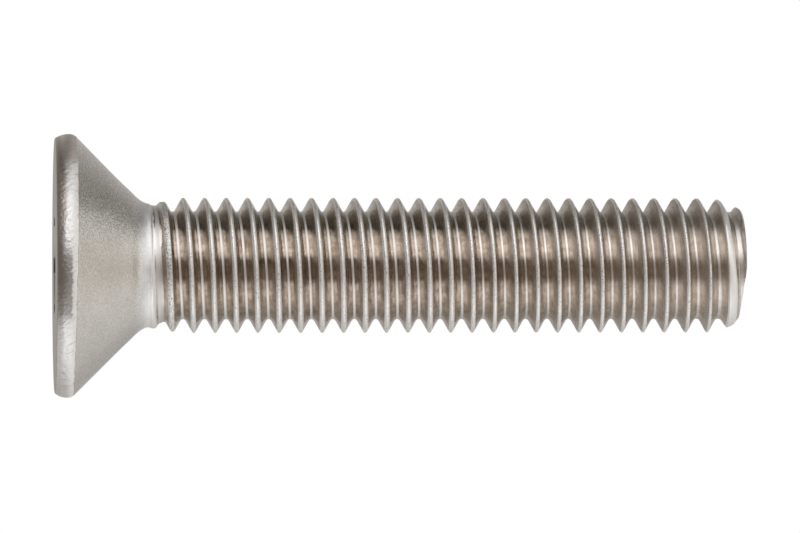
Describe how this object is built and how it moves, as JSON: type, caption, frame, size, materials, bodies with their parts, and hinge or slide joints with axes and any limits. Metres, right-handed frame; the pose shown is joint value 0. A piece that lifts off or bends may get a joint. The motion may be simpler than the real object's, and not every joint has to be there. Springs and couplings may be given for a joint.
{
  "type": "countersunk socket screw",
  "caption": "Countersunk machine screw: a flat head with a hexagon socket, a 90 degree cone under it, and a metric thread along the shank.",
  "frame": {"origin": "centre of the flat face of the head, on the screw's axis; the screw stands on this face", "axes": "+Z along the axis, from the head to the tip; +X points at a flat of the hexagon socket and +Y at a corner"},
  "size_m": [0.0154, 0.0154, 0.04],
  "materials": {
    "steel": "satin, tumbled"
  },
  "bodies": {
    "root": {"screw": "steel"}
  },
  "joints": []
}
